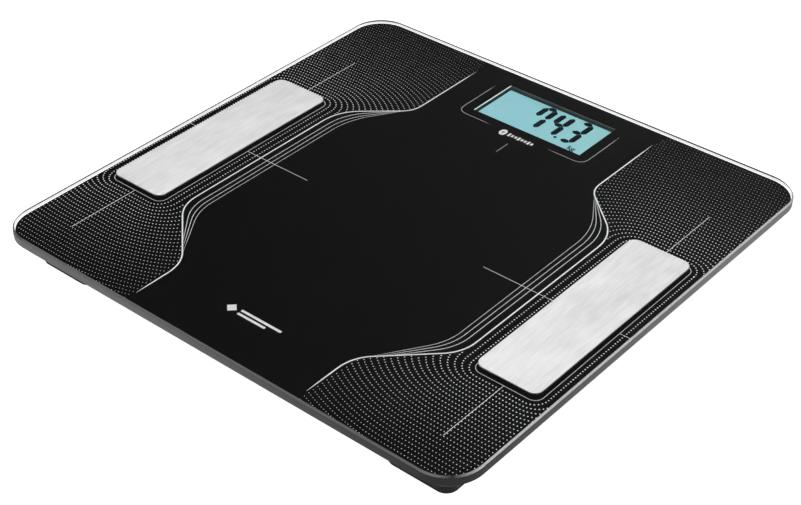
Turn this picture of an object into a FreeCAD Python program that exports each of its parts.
import FreeCAD, Part
import math
import os
import re
import Sketcher

# A glass body-analyser bathroom scale. Origin: centre of the underside of the feet.
# +Z is up, +Y runs from the person's heels to the display, +X is the person's right.

V = FreeCAD.Vector
doc = FreeCAD.newDocument("bathroom_scale")

DIMENSIONS = [
    ("glass_width", 300, "glass, left to right"),
    ("glass_depth", 300, "glass, heel edge to display edge"),
    ("glass_thick", 6, "tempered glass"),
    ("glass_corner", 20, "corner radius of the glass"),
    ("glass_bevel", 1, "ground bevel on both edges of the glass"),
    ("film_thick", 0.2, "printed film behind the glass"),
    ("film_inset", 1.2, "glass edge to film edge"),
    ("window_width", 73.5, "clear window in the film"),
    ("window_depth", 35.3, "clear window in the film"),
    ("window_inset", 30.8, "far glass edge to window centre"),
    ("tape_thick", 0.8, "foam tape between cover rim and film"),
    ("ground_gap", 6, "ground to underside of the cover"),
    ("cover_height", 10.2, "underside of the cover to its rim"),
    ("cover_inset", 8, "glass edge to cover wall"),
    ("cover_corner", 14, "corner radius of the cover"),
    ("cover_bevel", 3.4, "bevel round the cover's lower edge"),
    ("cover_wall", 2, "wall of the cover"),
    ("cover_floor", 1.6, "floor of the cover"),
    ("electrode_width", 36, "steel electrode plate"),
    ("electrode_length", 131, "steel electrode plate"),
    ("electrode_corner", 5, "steel electrode plate"),
    ("electrode_thick", 0.6, "steel electrode plate"),
    ("electrode_edge", 0.25, "rounding of the electrode's top edge"),
    ("electrode_inset", 27.5, "side glass edge to electrode centre"),
    ("electrode_shift", 13.3, "electrode centre towards the heels"),
    ("stud_radius", 1.5, "stud welded under each electrode"),
    ("stud_gap", 1, "stud to its hole in the glass and film"),
    ("terminal_thick", 0.5, "ring terminal sheet"),
    ("terminal_reach", 9, "stud to the end of the terminal's tail"),
    ("terminal_width", 2.4, "terminal's tail"),
    ("crimp_wall", 0.4, "crimped barrel round the lead"),
    ("crimp_length", 4, "crimped barrel"),
    ("nut_height", 2.4, "electrode nut"),
    ("nut_radius", 3.1, "electrode nut across corners, half"),
    ("lead_radius", 0.7, "insulated leads"),
    ("lead_height", 10.8, "ground to the middle of the leads"),
    ("clip_length", 4.4, "lead clip, across its lead"),
    ("clip_width", 3, "lead clip, along its lead"),
    ("foot_inset", 33, "glass edge to foot centre, both ways"),
    ("foot_width", 38.4, "square foot"),
    ("foot_corner", 6.5, "corner radius of the foot"),
    ("foot_gap", 0.5, "foot to its hole in the cover"),
    ("foot_top", 7.4, "ground to the top of the foot's plate"),
    ("pad_thick", 1.5, "rubber pad bonded to the whole underside of the foot"),
    ("pad_edge", 0.4, "rounding of the pad's lower edge"),
    ("pusher_radius", 4, "boss of the foot that presses the load cell"),
    ("cell_bottom", 9.4, "ground to the underside of the load cell"),
    ("cell_width", 34, "load cell plate"),
    ("cell_thick", 2.5, "load cell plate"),
    ("cell_frame", 5, "width of the load cell's outer frame"),
    ("cell_gap", 0.2, "load cell to its seat"),
    ("neck_width", 8, "load cell's tongue"),
    ("head_width", 18, "end of the load cell's tongue"),
    ("head_depth", 10, "end of the load cell's tongue"),
    ("gauge_width", 5, "strain gauge foil"),
    ("gauge_depth", 4, "strain gauge foil"),
    ("gauge_thick", 0.12, "strain gauge foil"),
    ("carrier_width", 42, "load cell carrier"),
    ("carrier_skirt", 1.8, "carrier wall below its seat for the load cell"),
    ("carrier_roof", 1.6, "roof of the carrier"),
    ("board_width", 100, "main board"),
    ("board_depth", 48.5, "main board"),
    ("board_thick", 1.2, "main board"),
    ("board_lift", 1.2, "cover floor to main board"),
    ("screw_inset", 5, "board edge to board screws"),
    ("screw_radius", 1.25, "board screws"),
    ("panel_border", 0.5, "display panels beyond the window"),
    ("backlight_thick", 3, "backlight panel"),
    ("lcd_thick", 1.8, "liquid crystal panel"),
    ("frame_wall", 1.3, "display frame beyond the window"),
    ("socket_width", 34, "lead socket"),
    ("socket_depth", 6, "lead socket"),
    ("socket_height", 3, "lead socket"),
    ("chip_row", 6, "front edge of the board to the chips"),
    ("chip_width", 9, "controller chip, square"),
    ("chip_height", 1.4, "controller chip"),
    ("radio_width", 14, "radio module"),
    ("radio_height", 1.8, "radio module"),
    ("battery_shift", 40, "battery box centre towards the display"),
    ("cell_radius", 5.25, "small dry cell"),
    ("battery_length", 44.5, "small dry cell with its nub"),
    ("nub_length", 1, "nub of the dry cell"),
    ("battery_pitch", 11.4, "between dry cells"),
    ("battery_axis", 10.35, "ground to the axis of the dry cells"),
    ("contact_thick", 0.4, "battery contact sheet"),
    ("contact_width", 9, "battery contact sheet over one cell"),
    ("contact_height", 8, "battery contact sheet"),
    ("tail_width", 3, "contact's tail outside the box"),
    ("tail_reach", 1.5, "contact's tail outside the box"),
    ("spring_length", 3.6, "battery spring, fitted"),
    ("spring_radius", 3.6, "battery spring at its sheet"),
    ("spring_step", 0.6, "how much narrower each turn of the spring is"),
    ("pod_bottom", 3.4, "ground to the underside of the battery pod"),
    ("pod_wall", 1.6, "pod beyond the hinge room"),
    ("pod_corner", 3, "corner radius of the pod"),
    ("box_wall", 1.5, "wall of the battery box"),
    ("box_slack", 0.1, "free height in the battery box"),
    ("rib_thick", 0.6, "ribs between the dry cells"),
    ("rib_height", 2.4, "ribs between the dry cells"),
    ("box_gap", 0.35, "dry cell to the side of the box"),
    ("box_roof", 0.9, "roof of the battery box"),
    ("door_thick", 1.4, "battery door"),
    ("door_gap", 0.3, "battery door to its recess"),
    ("hinge_radius", 1.2, "rounded hinge edge of the door"),
    ("hinge_clear", 0.45, "box wall to the hinge edge"),
    ("grip_length", 12, "thumb grooves of the door"),
    ("grip_width", 0.7, "thumb grooves of the door"),
    ("grip_depth", 0.4, "thumb grooves of the door"),
    ("grip_pitch", 1.6, "between thumb grooves"),
    ("pin_radius", 0.8, "hinge pins of the door"),
    ("pin_gap", 0.15, "hinge pin to its hole"),
    ("pin_length", 1.2, "hinge pins of the door"),
    ("button_x", 70, "unit button from the middle"),
    ("button_y", 100, "unit button towards the display"),
    ("button_radius", 4.5, "unit button"),
    ("flange_width", 1.5, "button's flange beyond the button"),
    ("flange_thick", 0.6, "button's flange"),
    ("button_gap", 0.3, "unit button to its hole and to the floor"),
    ("button_travel", 0.5, "stroke of the unit button"),
    ("plunger_bottom", 9.5, "ground to the plunger of the unit switch"),
    ("plunger_radius", 1.7, "plunger of the unit switch"),
    ("plunger_height", 0.8, "plunger of the unit switch"),
    ("switch_width", 6, "housing of the unit switch, square"),
    ("switch_base", 13.4, "ground to the underside of the switch board"),
    ("label_width", 62, "rating label"),
    ("label_depth", 36, "rating label"),
    ("label_shift", 52, "rating label's centre towards the heels"),
    ("label_thick", 0.15, "rating label"),
]
NAMES = re.compile(r"\b(" + "|".join(alias for alias, value, note in DIMENSIONS) + r")\b")


def make_sheet():
    sheet = doc.addObject("Spreadsheet::Sheet", "Sheet")
    for row, (alias, value, note) in enumerate(DIMENSIONS, start=1):
        sheet.set(f"A{row}", note)
        sheet.set(f"B{row}", str(value))
        sheet.setAlias(f"B{row}", alias)
    doc.recompute()
    return sheet


sheet = make_sheet()


def bound(expression):
    """The expression as FreeCAD reads it, with each size taken from the sheet."""
    return NAMES.sub(r"Sheet.\1", str(expression))


def number(expression):
    return float(sheet.evalExpression(bound(expression)))


# Levels and places that several pieces share, worked out from the sheet.
FLOOR_TOP = "(ground_gap + cover_floor)"
RIM_TOP = "(ground_gap + cover_height)"
FILM_BOTTOM = f"({RIM_TOP} + tape_thick)"
GLASS_BOTTOM = f"({FILM_BOTTOM} + film_thick)"
GLASS_TOP = f"({GLASS_BOTTOM} + glass_thick)"
COVER_WIDTH = "(glass_width - 2 * cover_inset)"
COVER_DEPTH = "(glass_depth - 2 * cover_inset)"
ELECTRODE_X = "(glass_width / 2 - electrode_inset)"
FOOT_X = "(glass_width / 2 - foot_inset)"
FOOT_Y = "(glass_depth / 2 - foot_inset)"
BARREL_DROP = "(lead_radius + crimp_wall / 2)"
CELL_TOP = "(cell_bottom + cell_thick)"
WINDOW_Y = "(glass_depth / 2 - window_inset)"
BOARD_BOTTOM = f"({FLOOR_TOP} + board_lift)"
BOARD_TOP = f"({BOARD_BOTTOM} + board_thick)"
BOARD_Y = f"({WINDOW_Y} + window_depth / 2 - board_depth / 2)"
BOARD_FRONT = f"({BOARD_Y} - board_depth / 2)"
PANEL_WIDTH = "(window_width + 2 * panel_border)"
PANEL_DEPTH = "(window_depth + 2 * panel_border)"
PANEL_TOP = f"({BOARD_TOP} + backlight_thick + lcd_thick)"
BOX_LENGTH = "(battery_length + 2 * contact_thick + spring_length)"
BOX_DEPTH = "(2 * (battery_pitch + cell_radius + box_gap))"
BOX_BOTTOM = "(pod_bottom + door_thick + box_slack)"
BOX_TOP = "(battery_axis + cell_radius + box_slack)"
CONTACT_X = f"({BOX_LENGTH} / 2 - contact_thick)"
DOOR_DEPTH = f"({BOX_DEPTH} + 2 * box_wall - 2 * door_gap)"
DOOR_START = f"({BOX_LENGTH} / 2 + box_wall)"
HINGE_X = f"({DOOR_START} + hinge_radius + hinge_clear)"
HINGE_Z = "(pod_bottom + hinge_radius)"
SIDES = {"left": -1, "right": 1}
CORNERS = {
    "front_left": (-1, -1),
    "front_right": (1, -1),
    "rear_left": (-1, 1),
    "rear_right": (1, 1),
}


# Sketches and features. Each piece is described by outlines at a height.

def make_body(name):
    body = doc.addObject("PartDesign::Body", name)
    body.Label = name
    return body


def make_sketch(body, name, at, plane="XY_Plane"):
    """A sketch on one of the body's own planes, moved to at = (x, y, z)."""
    sketch = body.newObject("Sketcher::SketchObject", name)
    support = [item for item in body.Origin.OriginFeatures if item.Role == plane]
    sketch.AttachmentSupport = (support[0], [""])
    sketch.MapMode = "FlatFace"
    x, y, z = at
    local = {"XY_Plane": (x, y, z), "YZ_Plane": (y, z, x), "XZ_Plane": (x, z, f"-({y})")}[plane]
    for axis, expression in zip("xyz", local):
        sketch.setExpression(f"AttachmentOffset.Base.{axis}", bound(expression))
    return sketch


def constrain(sketch, kind, *where):
    return sketch.addConstraint(Sketcher.Constraint(kind, *where))


def dimension(sketch, name, kind, where, expression):
    """A named size, bound to the sheet."""
    index = sketch.addConstraint(Sketcher.Constraint(kind, *where, number(expression)))
    sketch.renameConstraint(index, name)
    sketch.setExpression(f"Constraints.{name}", bound(expression))


def draw_rectangle(sketch, width, depth):
    """Plain rectangle about the sketch's origin."""
    w = number(width) / 2
    d = number(depth) / 2
    points = [V(w, d, 0), V(-w, d, 0), V(-w, -d, 0), V(w, -d, 0)]
    lines = [sketch.addGeometry(Part.LineSegment(points[i], points[(i + 1) % 4])) for i in range(4)]
    for i in range(4):
        constrain(sketch, "Coincident", lines[i], 2, lines[(i + 1) % 4], 1)
        constrain(sketch, "Vertical" if i % 2 else "Horizontal", lines[i])
    constrain(sketch, "Symmetric", lines[0], 1, lines[2], 1, -1, 1)
    dimension(sketch, "width", "DistanceX", (lines[1], 1, lines[3], 2), width)
    dimension(sketch, "depth", "DistanceY", (lines[2], 1, lines[0], 1), depth)


def draw_rounded(sketch, width, depth, radius):
    """Rounded rectangle about the sketch's origin."""
    w = number(width) / 2 - number(radius)
    d = number(depth) / 2 - number(radius)
    r = number(radius)
    arcs = []
    for i, (x, y) in enumerate([(w, d), (-w, d), (-w, -d), (w, -d)]):
        circle = Part.Circle(V(x, y, 0), V(0, 0, 1), r)
        start = math.radians(90 * i)
        arcs.append(sketch.addGeometry(Part.ArcOfCircle(circle, start, start + math.pi / 2)))
    ends = [((w, d + r), (-w, d + r)), ((-w - r, d), (-w - r, -d)),
            ((-w, -d - r), (w, -d - r)), ((w + r, -d), (w + r, d))]
    lines = [sketch.addGeometry(Part.LineSegment(V(*a, 0), V(*b, 0))) for a, b in ends]
    for i in range(4):
        constrain(sketch, "Tangent", arcs[i], 2, lines[i], 1)
        constrain(sketch, "Tangent", lines[i], 2, arcs[(i + 1) % 4], 1)
        constrain(sketch, "Vertical" if i % 2 else "Horizontal", lines[i])
    for i in range(3):
        constrain(sketch, "Equal", arcs[i], arcs[i + 1])
    constrain(sketch, "Symmetric", arcs[0], 3, arcs[2], 3, -1, 1)
    dimension(sketch, "width", "DistanceX", (lines[1], 1, lines[3], 1), width)
    dimension(sketch, "depth", "DistanceY", (lines[2], 1, lines[0], 1), depth)
    dimension(sketch, "radius", "Radius", (arcs[0],), radius)


def draw_circle(sketch, radius):
    circle = sketch.addGeometry(Part.Circle(V(0, 0, 0), V(0, 0, 1), number(radius)))
    constrain(sketch, "Coincident", circle, 3, -1, 1)
    dimension(sketch, "radius", "Radius", (circle,), radius)


def draw(sketch, size):
    """size is (radius,), (width, depth) or (width, depth, corner radius)."""
    drawers = {1: draw_circle, 2: draw_rectangle, 3: draw_rounded}
    drawers[len(size)](sketch, *size)


def add(body, name, size, at, height, plane="XY_Plane"):
    """Material of the given outline, from at along the plane's normal for height."""
    sketch = make_sketch(body, f"{name}_outline", at, plane)
    draw(sketch, size)
    pad = body.newObject("PartDesign::Pad", name)
    pad.Profile = sketch
    pad.setExpression("Length", bound(height))
    doc.recompute()
    return pad


def cut(body, name, size, at, height, plane="XY_Plane", taper=0):
    """Room of the given outline, from at along the plane's normal for height."""
    before = body.Shape.Volume
    sketch = make_sketch(body, f"{name}_outline", at, plane)
    draw(sketch, size)
    pocket = body.newObject("PartDesign::Pocket", name)
    pocket.Profile = sketch
    pocket.Reversed = True
    pocket.TaperAngle = taper
    pocket.setExpression("Length", bound(height))
    doc.recompute()
    if body.Shape.Volume > before - 1e-6:
        raise RuntimeError(f"{body.Label}: {name} cuts nothing")
    return pocket


def edges_at(shape, height):
    """Names of the edges that lie flat at a height."""
    found = []
    for index, edge in enumerate(shape.Edges, start=1):
        box = edge.BoundBox
        if abs(box.ZMin - height) < 1e-4 and abs(box.ZMax - height) < 1e-4:
            found.append(f"Edge{index}")
    return found


def dress(body, kind, name, heights, size):
    """Chamfer or Fillet of the edges that lie at the given heights."""
    base = body.Tip
    names = [edge for height in heights for edge in edges_at(base.Shape, number(height))]
    feature = body.newObject(f"PartDesign::{kind}", name)
    feature.Base = (base, names)
    feature.setExpression("Radius" if kind == "Fillet" else "Size", bound(size))
    doc.recompute()


def make_box(name, size, at):
    """Block centred on at in x and y and standing on it in z."""
    piece = doc.addObject("Part::Box", name)
    piece.Label = name
    for prop, expression in zip(("Length", "Width", "Height"), size):
        piece.setExpression(prop, bound(expression))
    x, y, z = at
    piece.setExpression("Placement.Base.x", bound(f"{x} - ({size[0]}) / 2"))
    piece.setExpression("Placement.Base.y", bound(f"{y} - ({size[1]}) / 2"))
    piece.setExpression("Placement.Base.z", bound(z))
    return piece


def tube(name, points):
    """A lead along straight runs joined by tangent arcs as large as the runs allow."""
    points = [V(*point) for point in points]
    radius = number("lead_radius")
    edges = []
    last = points[0]
    tightest = math.inf
    for before, corner, after in zip(points, points[1:], points[2:]):
        way_in = (corner - before).normalize()
        way_out = (after - corner).normalize()
        half_turn = way_in.getAngle(way_out) / 2
        reach = 0.45 * min(corner.distanceToPoint(before), corner.distanceToPoint(after))
        bend = reach / math.tan(half_turn)
        inward = (way_out - way_in).normalize()
        middle = corner + inward * (bend / math.cos(half_turn) - bend)
        start = corner - way_in * reach
        finish = corner + way_out * reach
        edges.append(Part.LineSegment(last, start).toShape())
        edges.append(Part.Arc(start, middle, finish).toShape())
        last = finish
        tightest = min(tightest, bend)
    edges.append(Part.LineSegment(last, points[-1]).toShape())
    path = Part.Wire(edges)
    profile = Part.Wire(Part.Circle(points[0], points[1] - points[0], radius).toShape())
    shape = path.makePipeShell([profile], True, True)
    expected = math.pi * radius ** 2 * path.Length
    if abs(shape.Volume - expected) > 0.01 * expected:
        raise RuntimeError(f"{name}: the tube is not its section times its length")
    print(f"{name}: {path.Length:.0f} mm long, tightest bend {tightest:.1f} mm")
    piece = doc.addObject("Part::Feature", name)
    piece.Label = name
    piece.Shape = shape
    return piece


# The platform: glass, film, tape and the two electrodes.

def stud_places():
    return [(side, f"{sign} * {ELECTRODE_X}") for side, sign in SIDES.items()]


def make_glass():
    body = make_body("glass_platform")
    add(body, "plate", ("glass_width", "glass_depth", "glass_corner"), (0, 0, GLASS_BOTTOM), "glass_thick")
    dress(body, "Chamfer", "ground_edges", (GLASS_BOTTOM, GLASS_TOP), "glass_bevel")
    for side, x in stud_places():
        at = (x, "-electrode_shift", GLASS_BOTTOM)
        cut(body, f"{side}_stud_hole", ("stud_radius + stud_gap",), at, "glass_thick")


def make_film():
    body = make_body("printed_film")
    size = ("glass_width - 2 * film_inset", "glass_depth - 2 * film_inset", "glass_corner - film_inset")
    add(body, "sheet", size, (0, 0, FILM_BOTTOM), "film_thick")
    cut(body, "window", ("window_width", "window_depth"), (0, WINDOW_Y, FILM_BOTTOM), "film_thick")
    for side, x in stud_places():
        at = (x, "-electrode_shift", FILM_BOTTOM)
        cut(body, f"{side}_stud_hole", ("stud_radius + stud_gap",), at, "film_thick")


def make_tape():
    """Foam tape, as wide as the rim that it bonds to the film."""
    body = make_body("bonding_tape")
    inner = (f"{COVER_WIDTH} - 2 * cover_wall", f"{COVER_DEPTH} - 2 * cover_wall", "cover_corner - cover_wall")
    add(body, "band", (COVER_WIDTH, COVER_DEPTH, "cover_corner"), (0, 0, RIM_TOP), "tape_thick")
    cut(body, "inside", inner, (0, 0, RIM_TOP), "tape_thick")


def make_electrode(side, x):
    """Steel plate on the glass, with a threaded stud that passes through it."""
    plate = make_body(f"{side}_electrode_plate")
    size = ("electrode_width", "electrode_length", "electrode_corner")
    add(plate, "plate", size, (x, "-electrode_shift", GLASS_TOP), "electrode_thick")
    dress(plate, "Fillet", "soft_edge", (f"{GLASS_TOP} + electrode_thick",), "electrode_edge")
    nut_bottom = f"({FILM_BOTTOM} - terminal_thick - nut_height)"
    at = (x, "-electrode_shift", f"{nut_bottom} - stud_radius / 2")
    add(plate, "stud", ("stud_radius",), at, f"{GLASS_TOP} - {nut_bottom} + stud_radius / 2")


def make_nut(side, x):
    prism = doc.addObject("Part::Prism", f"{side}_nut_blank")
    prism.Polygon = 6
    thread = doc.addObject("Part::Cylinder", f"{side}_nut_thread")
    prism.setExpression("Circumradius", bound("nut_radius"))
    thread.setExpression("Radius", bound("stud_radius"))
    for piece in (prism, thread):
        piece.setExpression("Height", bound("nut_height"))
        piece.setExpression("Placement.Base.x", bound(x))
        piece.setExpression("Placement.Base.y", bound("-electrode_shift"))
        piece.setExpression("Placement.Base.z", bound(f"{FILM_BOTTOM} - terminal_thick - nut_height"))
    nut = doc.addObject("Part::Cut", f"{side}_electrode_nut")
    nut.Base = prism
    nut.Tool = thread
    nut.Label = f"{side}_electrode_nut"


def make_terminal(side, x, sign):
    """Ring under the film, with a tail towards the middle and a crimped barrel."""
    body = make_body(f"{side}_electrode_terminal")
    bottom = f"({FILM_BOTTOM} - terminal_thick)"
    y = "-electrode_shift"
    add(body, "ring", ("nut_radius + crimp_wall",), (x, y, bottom), "terminal_thick")
    tail_x = f"{x} - {sign} * terminal_reach / 2"
    add(body, "tail", ("terminal_reach", "terminal_width"), (tail_x, y, bottom), "terminal_thick")
    cut(body, "stud_hole", ("stud_radius",), (x, y, bottom), "terminal_thick")
    barrel_x = f"{x} - {sign} * (terminal_reach - crimp_length / 2) - crimp_length / 2"
    barrel_at = (barrel_x, y, f"{bottom} - {BARREL_DROP}")
    add(body, "barrel", ("lead_radius + crimp_wall",), barrel_at, "crimp_length", "YZ_Plane")


# The cover: a shallow tray with the battery pod, bosses and lead clips.

def make_cover():
    body = make_body("base_cover")
    shape_cover_shell(body)
    shape_battery_box(body)
    for name, (sign_x, sign_y) in CORNERS.items():
        at = (f"{sign_x} * {FOOT_X}", f"{sign_y} * {FOOT_Y}", "ground_gap")
        hole = "foot_width + 2 * foot_gap"
        cut(body, f"{name}_foot_hole", (hole, hole, "foot_corner + foot_gap"), at, "cover_floor")
    shape_board_bosses(body)
    shape_button_seat(body)
    for side, sign in SIDES.items():
        shape_lead_clips(body, side, sign)


def shape_cover_shell(body):
    add(body, "shell", (COVER_WIDTH, COVER_DEPTH, "cover_corner"), (0, 0, "ground_gap"), "cover_height")
    dress(body, "Chamfer", "lower_bevel", ("ground_gap",), "cover_bevel")
    # The inside follows the outside at one wall thickness, so its knee is a little higher.
    knee = "(ground_gap + cover_bevel + cover_wall * tan(22.5 deg))"
    drop = f"({knee} - {FLOOR_TOP})"
    inner = (f"{COVER_WIDTH} - 2 * cover_wall", f"{COVER_DEPTH} - 2 * cover_wall", "cover_corner - cover_wall")
    cut(body, "inside", inner, (0, 0, knee), f"{RIM_TOP} - {knee}")
    lower = (f"{inner[0]} - 2 * {drop}", f"{inner[1]} - 2 * {drop}", f"{inner[2]} - {drop}")
    cut(body, "lower_inside", lower, (0, 0, FLOOR_TOP), drop, taper=45)


def shape_battery_box(body):
    """Pod below the floor for the door, and a closed box above it for three dry cells."""
    y = "battery_shift"
    pod_width = f"2 * ({HINGE_X} + hinge_radius + door_gap + pod_wall)"
    pod = (pod_width, f"{DOOR_DEPTH} + 2 * door_gap + 4", "pod_corner")
    add(body, "pod", pod, (0, y, "pod_bottom"), f"{FLOOR_TOP} - pod_bottom")
    walls = (f"{BOX_LENGTH} + 2 * box_wall", f"{BOX_DEPTH} + 2 * box_wall")
    add(body, "box", walls, (0, y, FLOOR_TOP), f"{BOX_TOP} + box_roof - {FLOOR_TOP}")
    cut(body, "box_inside", (BOX_LENGTH, BOX_DEPTH), (0, y, BOX_BOTTOM), f"{BOX_TOP} - {BOX_BOTTOM}")
    recess_end = f"({HINGE_X} + hinge_radius + door_gap)"
    recess_start = f"({DOOR_START} + door_gap)"
    recess = (f"{recess_end} + {recess_start}", f"{DOOR_DEPTH} + 2 * door_gap")
    middle = f"({recess_end} - {recess_start}) / 2"
    cut(body, "door_recess", recess, (middle, y, "pod_bottom"), f"{BOX_BOTTOM} - pod_bottom")
    room = (f"{recess_end} - {DOOR_START} - box_slack", f"{DOOR_DEPTH} + 2 * door_gap")
    room_x = f"({recess_end} + {DOOR_START} + box_slack) / 2"
    cut(body, "hinge_room", room, (room_x, y, "pod_bottom"), "2 * hinge_radius + 0.4")
    for side, sign in SIDES.items():
        pin_y = f"battery_shift + {sign} * ({DOOR_DEPTH} + 2 * door_gap + pin_length) / 2 + pin_length / 2"
        cut_pin_hole(body, f"{side}_pin_hole", (HINGE_X, pin_y, HINGE_Z), "pin_length")
        rib_y = f"battery_shift + {sign} * battery_pitch / 2"
        rib = (f"{BOX_LENGTH} - 2 * spring_length", "rib_thick")
        add(body, f"{side}_rib", rib, (0, rib_y, f"{BOX_TOP} - rib_height"), "rib_height")
    for sign, row in ((1, 1), (-1, -1)):
        tail_y = f"battery_shift + {row} * battery_pitch"
        at = (f"{sign} * ({BOX_LENGTH} + box_wall) / 2", tail_y, "lead_height - contact_thick / 2")
        cut(body, f"tail_slot_{'left' if sign < 0 else 'right'}", ("box_wall", "tail_width"), at, "contact_thick")


def cut_pin_hole(body, name, at, length):
    """Round hole along Y; the XZ plane's normal is -Y, so it runs from at towards -Y."""
    cut(body, name, ("pin_radius + pin_gap",), at, length, "XZ_Plane")


def shape_board_bosses(body):
    for side, sign in SIDES.items():
        x = f"{sign} * (board_width / 2 - screw_inset)"
        front = (x, f"{BOARD_FRONT} + screw_inset", FLOOR_TOP)
        rear = (x, f"{BOARD_FRONT} + board_depth - screw_inset", FLOOR_TOP)
        add(body, f"{side}_screw_boss", ("2.4 * screw_radius",), front, "board_lift")
        add(body, f"{side}_rest_boss", ("2.4 * screw_radius",), rear, "board_lift")
        bore = (front[0], front[1], f"{FLOOR_TOP} - cover_floor / 2")
        cut(body, f"{side}_screw_bore", ("screw_radius",), bore, "board_lift + cover_floor / 2")


def shape_button_seat(body):
    """Hole for the unit button and two posts that carry its switch board."""
    cut(body, "button_hole", ("button_radius + button_gap",), ("button_x", "button_y", "ground_gap"), "cover_floor")
    for side, sign in SIDES.items():
        at = (f"button_x + {sign} * 2 * button_radius", "button_y", FLOOR_TOP)
        add(body, f"{side}_switch_post", ("0.4 * button_radius",), at, f"switch_base - {FLOOR_TOP}")


def shape_lead_clips(body, side, sign):
    """Forked posts that hold the leads where they run straight."""
    clips = {"cell": (42, -34, "across"), "electrode": (51, 48, "across"), "rear": (62, 80.2, "along")}
    for name, (x, y, way) in clips.items():
        place = (f"{sign} * {x}", y, FLOOR_TOP)
        slot_at = (place[0], y, "lead_height - lead_radius")
        post = ("clip_length", "clip_width") if way == "across" else ("clip_width", "clip_length")
        slot = ("2 * lead_radius", "clip_width") if way == "across" else ("clip_width", "2 * lead_radius")
        add(body, f"{side}_{name}_clip", post, place, f"lead_height + lead_radius - {FLOOR_TOP}")
        cut(body, f"{side}_{name}_clip_slot", slot, slot_at, "2 * lead_radius")


# The display and the electronics.

def make_display():
    body = make_body("display_frame")
    outer = ("window_width + 2 * frame_wall", "window_depth + 2 * frame_wall", "1")
    add(body, "block", outer, (0, WINDOW_Y, BOARD_TOP), f"{FILM_BOTTOM} - {BOARD_TOP}")
    cut(body, "window", ("window_width", "window_depth"), (0, WINDOW_Y, PANEL_TOP), f"{FILM_BOTTOM} - {PANEL_TOP}")
    cut(body, "panel_room", (PANEL_WIDTH, PANEL_DEPTH), (0, WINDOW_Y, BOARD_TOP), f"{PANEL_TOP} - {BOARD_TOP}")
    make_box("backlight_panel", (PANEL_WIDTH, PANEL_DEPTH, "backlight_thick"), (0, WINDOW_Y, BOARD_TOP))
    lcd_at = (0, WINDOW_Y, f"{BOARD_TOP} + backlight_thick")
    make_box("lcd_panel", (PANEL_WIDTH, PANEL_DEPTH, "lcd_thick"), lcd_at)


def make_board():
    body = make_body("main_board")
    add(body, "sheet", ("board_width", "board_depth", "2"), (0, BOARD_Y, BOARD_BOTTOM), "board_thick")
    for side, sign in SIDES.items():
        x = f"{sign} * (board_width / 2 - screw_inset)"
        y = f"{BOARD_FRONT} + screw_inset"
        cut(body, f"{side}_screw_hole", ("screw_radius",), (x, y, BOARD_BOTTOM), "board_thick")
        screw = make_body(f"{side}_board_screw")
        start = f"({FLOOR_TOP} - cover_floor / 2)"
        add(screw, "shank", ("screw_radius",), (x, y, start), f"{BOARD_TOP} - {start}")
        add(screw, "head", ("2 * screw_radius",), (x, y, BOARD_TOP), "1.2 * screw_radius")
        cut(screw, "cross_x", ("2.6", "0.5"), (x, y, f"{BOARD_TOP} + 0.6 * screw_radius"), "0.6 * screw_radius")
        cut(screw, "cross_y", ("0.5", "2.6"), (x, y, f"{BOARD_TOP} + 0.6 * screw_radius"), "0.6 * screw_radius")


def make_board_parts():
    chip_y = f"{BOARD_FRONT} + chip_row"
    socket = ("socket_width", "socket_depth", "socket_height")
    make_box("lead_socket", socket, (0, f"{BOARD_FRONT} + socket_depth / 2", BOARD_TOP))
    make_box("radio_module", ("radio_width", "chip_width", "radio_height"), (-31, chip_y, BOARD_TOP))
    make_box("controller_chip", ("chip_width", "chip_width", "chip_height"), (29, chip_y, BOARD_TOP))


def make_unit_button():
    """Button flush in the cover's floor, with a flange inside and a stem for the switch."""
    body = make_body("unit_button")
    x, y = "button_x", "button_y"
    flange_bottom = f"({FLOOR_TOP} + button_gap)"
    stem_top = "(plunger_bottom - button_travel)"
    add(body, "cap", ("button_radius",), (x, y, "ground_gap"), f"{flange_bottom} - ground_gap")
    add(body, "flange", ("button_radius + flange_width",), (x, y, flange_bottom), "flange_thick")
    add(body, "stem", ("button_radius / 2",), (x, y, flange_bottom), f"{stem_top} - {flange_bottom}")
    switch = make_body("unit_switch")
    body_bottom = "(plunger_bottom + plunger_height)"
    housing = ("switch_width", "switch_width", "0.5")
    add(switch, "housing", housing, (x, y, body_bottom), f"switch_base - {body_bottom}")
    add(switch, "plunger", ("plunger_radius",), (x, y, "plunger_bottom"), "plunger_height")
    make_box("switch_board", ("5 * button_radius", "10", "1"), (x, y, "switch_base"))


# The batteries, their contacts and the door.

def make_batteries():
    """Three dry cells in a row; the middle one faces the other way."""
    for index, (row, sign) in enumerate(((1, 1), (0, -1), (-1, 1)), start=1):
        body = make_body(f"battery_{index}")
        y = f"battery_shift + {row} * battery_pitch"
        nub_end = f"({sign} * {CONTACT_X})"
        far_end = f"({nub_end} - {sign} * battery_length)"
        shoulder = f"({nub_end} - {sign} * nub_length)"
        can_start = far_end if sign > 0 else shoulder
        nub_start = shoulder if sign > 0 else nub_end
        can = "battery_length - nub_length"
        add(body, "can", ("cell_radius",), (can_start, y, "battery_axis"), can, "YZ_Plane")
        add(body, "nub", ("0.36 * cell_radius",), (nub_start, y, "battery_axis"), "nub_length", "YZ_Plane")


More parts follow.
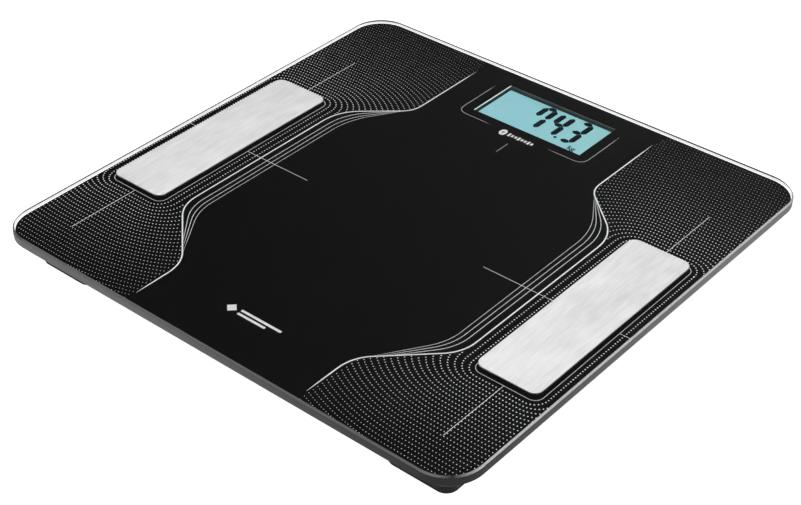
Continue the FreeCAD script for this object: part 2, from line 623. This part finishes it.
def add_contact(name, sign, rows, spring_row, has_tail):
    """Sheet against an end wall, over one or two cells, with a spring for a flat end."""
    body = make_body(name)
    middle = sum(rows) / len(rows)
    width = f"contact_width + {len(rows) - 1} * battery_pitch"
    start = CONTACT_X if sign > 0 else f"-{BOX_LENGTH} / 2"
    at = (start, f"battery_shift + {middle} * battery_pitch", "battery_axis")
    add(body, "sheet", (width, "contact_height", "1"), at, "contact_thick", "YZ_Plane")
    if spring_row is not None:
        y = f"battery_shift + {spring_row} * battery_pitch"
        for turn in range(3):
            inner = f"{CONTACT_X} - {turn + 1} * spring_length / 3"
            begin = inner if sign > 0 else f"-({CONTACT_X} - {turn} * spring_length / 3)"
            size = (f"spring_radius - {turn} * spring_step",)
            add(body, f"turn_{turn}", size, (begin, y, "battery_axis"), "spring_length / 3", "YZ_Plane")
    if has_tail:
        y = f"battery_shift + {middle} * battery_pitch"
        tail = ("box_wall + tail_reach + contact_thick / 2", "tail_width")
        x = f"{sign} * ({BOX_LENGTH} / 2 + (box_wall + tail_reach - contact_thick / 2) / 2)"
        add(body, "tail", tail, (x, y, "lead_height - contact_thick / 2"), "contact_thick")


def make_contacts():
    add_contact("positive_contact", 1, (1,), None, True)
    add_contact("left_bridge_contact", -1, (1, 0), 1, False)
    add_contact("right_bridge_contact", 1, (0, -1), 0, False)
    add_contact("negative_contact", -1, (-1,), -1, True)


def make_door():
    """Door plate with a rounded hinge edge, two hinge pins and a thumb catch."""
    body = make_body("battery_door")
    y = "battery_shift"
    length = f"({HINGE_X} + {DOOR_START})"
    at = (f"{HINGE_X} - {length} / 2", y, "pod_bottom")
    add(body, "plate", (length, DOOR_DEPTH), at, "door_thick")
    edge_at = (HINGE_X, f"battery_shift + {DOOR_DEPTH} / 2", HINGE_Z)
    add(body, "hinge_edge", ("hinge_radius",), edge_at, DOOR_DEPTH, "XZ_Plane")
    pins_at = (HINGE_X, f"battery_shift + {DOOR_DEPTH} / 2 + pin_length", HINGE_Z)
    add(body, "hinge_pins", ("pin_radius",), pins_at, f"{DOOR_DEPTH} + 2 * pin_length", "XZ_Plane")
    for groove in range(4):
        groove_at = (f"-{DOOR_START} + 3 + {groove} * grip_pitch", y, "pod_bottom")
        cut(body, f"grip_{groove}", ("grip_width", "grip_length", "0.3"), groove_at, "grip_depth")


# The four corners: load cells, carriers, feet.

def make_corner(name, sign_x, sign_y):
    x = f"{sign_x} * {FOOT_X}"
    y = f"{sign_y} * {FOOT_Y}"
    make_foot(name, x, y)
    make_load_cell(name, x, y, sign_x, sign_y)
    make_carrier(name, x, y, sign_x, sign_y)


def make_foot(name, x, y):
    foot = make_body(f"{name}_foot")
    size = ("foot_width", "foot_width", "foot_corner")
    add(foot, "plate", size, (x, y, "pad_thick"), "foot_top - pad_thick")
    add(foot, "pusher", ("pusher_radius",), (x, y, "foot_top"), "cell_bottom - foot_top")
    pad = make_body(f"{name}_foot_pad")
    add(pad, "pad", size, (x, y, 0), "pad_thick")
    dress(pad, "Fillet", "soft_edge", (0,), "pad_edge")


def make_load_cell(name, x, y, sign_x, sign_y):
    """Steel plate cut so that a tongue reaches from one side of the frame to the middle."""
    cell = make_body(f"{name}_load_cell")
    opening = "(cell_width - 2 * cell_frame)"
    add(cell, "plate", ("cell_width", "cell_width", "3"), (x, y, "cell_bottom"), "cell_thick")
    cut(cell, "opening", (opening, opening, "2"), (x, y, "cell_bottom"), "cell_thick")
    reach = f"({opening} / 2 + 1)"
    neck_y = f"{y} - {sign_y} * {reach} / 2"
    add(cell, "neck", ("neck_width", reach), (x, neck_y, "cell_bottom"), "cell_thick")
    add(cell, "head", ("head_width", "head_depth", "1.5"), (x, y, "cell_bottom"), "cell_thick")
    gauge_y = f"{y} - {sign_y} * {opening} * 0.36"
    make_box(f"{name}_strain_gauge", ("gauge_width", "gauge_depth", "gauge_thick"), (x, gauge_y, CELL_TOP))


def make_carrier(name, x, y, sign_x, sign_y):
    """Plastic housing bonded under the film; the load cell's frame bears on its seat."""
    body = make_body(f"{name}_cell_carrier")
    bottom = f"({CELL_TOP} - carrier_skirt)"
    seat = "(cell_width + 2 * cell_gap)"
    room = "(cell_width - 2 * cell_frame + 2)"
    size = ("carrier_width", "carrier_width", "cover_corner - cover_wall")
    add(body, "block", size, (x, y, bottom), f"{FILM_BOTTOM} - {bottom}")
    cut(body, "cell_seat", (seat, seat, "3"), (x, y, bottom), "carrier_skirt")
    cut(body, "flex_room", (room, room, "2"), (x, y, CELL_TOP), f"{FILM_BOTTOM} - carrier_roof - {CELL_TOP}")
    notch = "4 * lead_radius"
    skirt = "(carrier_width / 2 - cell_width / 2)"
    middle = f"(cell_width / 2 + {skirt} / 2)"
    if sign_y < 0:
        notch_size = (skirt, notch)
        at = (f"{x} - {sign_x} * {middle}", y, bottom)
    else:
        notch_size = (notch, skirt)
        at = (x, f"{y} - {middle}", bottom)
    cut(body, "lead_notch", notch_size, at, "carrier_skirt")


# Leads, each held at one height from its piece to the lead socket.

def level(points, height):
    return [(x, y, height) for x, y in points]


def make_leads():
    height = number("lead_height")
    front = number(BOARD_FRONT)
    foot_x = number(FOOT_X)
    foot_y = number(FOOT_Y)
    half_cell = number("cell_width") / 2
    for side, sign in SIDES.items():
        inner = (foot_x - half_cell, -foot_y)
        route = [inner, (82, -foot_y), (54, -101), (42, -64), (42, -8), (44, 32), (44.5, 60), (31, 71.5)]
        route += [(6, 74), (6, front)]
        tube(f"front_{side}_cell_lead", level([(sign * x, y) for x, y in route], height))
        route = [(foot_x, foot_y - half_cell), (foot_x, 90), (106, 82), (84, 80.2), (38, 80.2), (14, 81)]
        route += [(14, front)]
        tube(f"rear_{side}_cell_lead", level([(sign * x, y) for x, y in route], height))
        make_electrode_lead(side, sign, height, front)
    make_battery_leads(height, front)


def make_electrode_lead(side, sign, height, front):
    """Leaves the barrel under the film, comes down to the other leads and joins them."""
    start_x = number(f"{ELECTRODE_X} - terminal_reach")
    start_y = -number("electrode_shift")
    start_z = number(f"{FILM_BOTTOM} - terminal_thick - {BARREL_DROP}")
    route = [(start_x, start_y, start_z), (start_x - 8, start_y, start_z), (start_x - 22, -11, height)]
    route += level([(76, -3), (58, 14), (51, 34), (51, 62), (33, 76.5), (10, 78), (10, front)], height)
    tube(f"{side}_electrode_lead", [(sign * x, y, z) for x, y, z in route])


def make_battery_leads(height, front):
    tail = number(f"{BOX_LENGTH} / 2 + box_wall + tail_reach")
    middle = number("battery_shift")
    pitch = number("battery_pitch")
    route = [(tail, middle + pitch), (34, middle + pitch), (36.5, 61), (22, 66.5), (2, 68.5), (2, front)]
    tube("positive_battery_lead", level(route, height))
    route = [(-tail, middle - pitch), (-34, middle - pitch), (-37, 40), (-36.5, 61), (-22, 66.5), (-2, 68.5)]
    route += [(-2, front)]
    tube("negative_battery_lead", level(route, height))


def make_label():
    size = ("label_width", "label_depth", "label_thick")
    make_box("rating_label", size, (0, "-label_shift", "ground_gap - label_thick"))


def build():
    make_glass()
    make_film()
    make_tape()
    for side, sign in SIDES.items():
        x = f"{sign} * {ELECTRODE_X}"
        make_electrode(side, x)
        make_nut(side, x)
        make_terminal(side, x, sign)
    make_cover()
    make_display()
    make_board()
    make_board_parts()
    make_unit_button()
    make_batteries()
    make_contacts()
    make_door()
    for name, (sign_x, sign_y) in CORNERS.items():
        make_corner(name, sign_x, sign_y)
    make_leads()
    make_label()
    doc.recompute()


def sub_parts():
    """Every finished piece: bodies, cuts, blocks and tubes that nothing else uses."""
    kinds = ("PartDesign::Body", "Part::Box", "Part::Cut", "Part::Feature")
    return [piece for piece in doc.Objects if piece.TypeId in kinds]


def write():
    for item in doc.Objects:
        if "Invalid" in item.State or "Error" in item.State:
            raise RuntimeError(f"{item.Label} did not build: {item.State}")
    pieces = sub_parts()
    for piece in pieces:
        if piece.Shape.isNull() or not piece.Shape.isValid() or not piece.Shape.Solids:
            raise RuntimeError(f"{piece.Label} has no valid solid")
    os.makedirs("parts", exist_ok=True)
    for piece in pieces:
        piece.Shape.exportStep(f"parts/{piece.Label}.step")
    print(f"{len(pieces)} sub-parts written")


build()
write()
